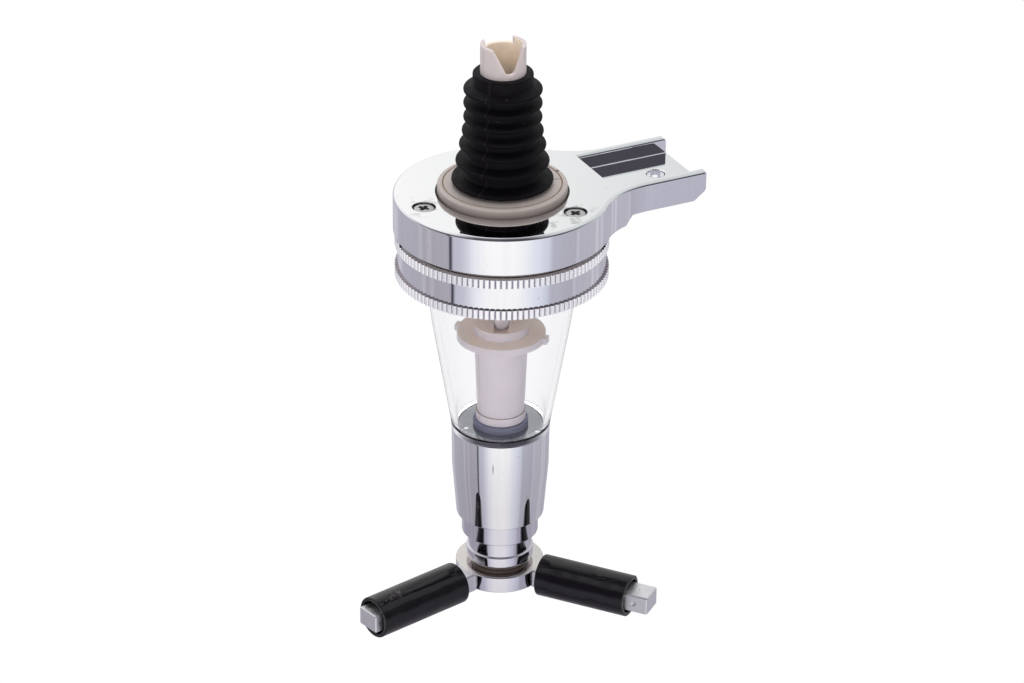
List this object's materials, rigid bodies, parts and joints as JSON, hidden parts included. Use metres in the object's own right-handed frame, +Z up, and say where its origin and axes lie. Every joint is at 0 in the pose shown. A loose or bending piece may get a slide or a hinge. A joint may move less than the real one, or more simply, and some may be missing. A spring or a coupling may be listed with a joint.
{
  "type": "bar optic",
  "caption": "Spirit measure for an upturned bottle: ribbed cork, chrome bracket head, clear conical chamber and a spring-returned spout valve that is lifted by bars.",
  "frame": {"origin": "on the main axis, at the flat top face of the bracket head", "axes": "+Z up along the main axis, towards the bottle; +Y along the bracket arm"},
  "size_m": [0.0655, 0.0988, 0.1592],
  "materials": {
    "chrome": "bright mirror plating",
    "grey_plastic": "moulded, satin",
    "screw_steel": "plated, bright",
    "seal_rubber": "moulded, matte",
    "ivory_plastic": "moulded, satin",
    "white_plastic": "moulded, satin",
    "black_rubber": "moulded, matte",
    "clear_plastic": "clear, moulded, polished",
    "spring_steel": "drawn, bright",
    "brass": "turned",
    "lever_metal": "die-cast and plated, satin on top",
    "black_plastic": "moulded, satin",
    "sleeve_plastic": "extruded tube, semi-gloss"
  },
  "bodies": {
    "head": {"bracket_head": "chrome", "valve_body": "grey_plastic", "head_screws": "screw_steel", "inlet_seat": "seal_rubber", "inlet_tube": "ivory_plastic", "tube_o_ring": "black_rubber", "bottle_cork": "black_rubber", "body_gasket": "black_rubber"},
    "chamber": {"measuring_chamber": "clear_plastic", "outlet_seal": "seal_rubber", "neck_gasket": "black_rubber", "outlet_collar": "chrome", "spring_washer": "spring_steel", "return_spring": "spring_steel"},
    "ring": {"clamp_ring": "chrome"},
    "plunger": {"valve_spool": "ivory_plastic", "foot_ring": "white_plastic", "valve_rod": "ivory_plastic", "inlet_disc": "seal_rubber", "disc_backing": "white_plastic", "rod_cap": "spring_steel", "rod_spider": "brass", "spout": "chrome", "spout_o_ring": "black_rubber", "thrust_washer": "black_plastic", "lever_clip": "spring_steel"},
    "lever": {"lever_ring": "lever_metal"},
    "left_roller": {"left_sleeve": "sleeve_plastic"},
    "right_roller": {"right_sleeve": "sleeve_plastic"}
  },
  "joints": [
    {"name": "chamber_drop", "type": "slide", "parent": "head", "child": "chamber", "axis": [0, 0, 1], "range_m": [-0.0045, 0]},
    {"name": "ring_turn", "type": "hinge", "parent": "chamber", "child": "ring", "pos_m": [0, 0, 0], "axis": [0, 0, 1], "range_deg": [-1080, 0]},
    {"name": "plunger_lift", "type": "slide", "parent": "chamber", "child": "plunger", "axis": [0, 0, 1], "range_m": [0, 0.0044], "stiffness_N_per_m": 250, "springref_m": -0.008, "deforming": ["return_spring"]},
    {"name": "lever_swivel", "type": "hinge", "parent": "plunger", "child": "lever", "pos_m": [0, 0, -0.1123], "axis": [0, 0, 1], "continuous": true},
    {"name": "left_roll", "type": "hinge", "parent": "lever", "child": "left_roller", "pos_m": [0, 0, -0.1123], "axis": [0.23, -0.9732, 0], "continuous": true},
    {"name": "right_roll", "type": "hinge", "parent": "lever", "child": "right_roller", "pos_m": [0, 0, -0.1123], "axis": [0.7804, 0.6252, 0], "continuous": true}
  ],
  "couplings": [
    {"joint": "chamber_drop", "follows": "ring_turn", "m_per_rad": 0.00023873}
  ]
}
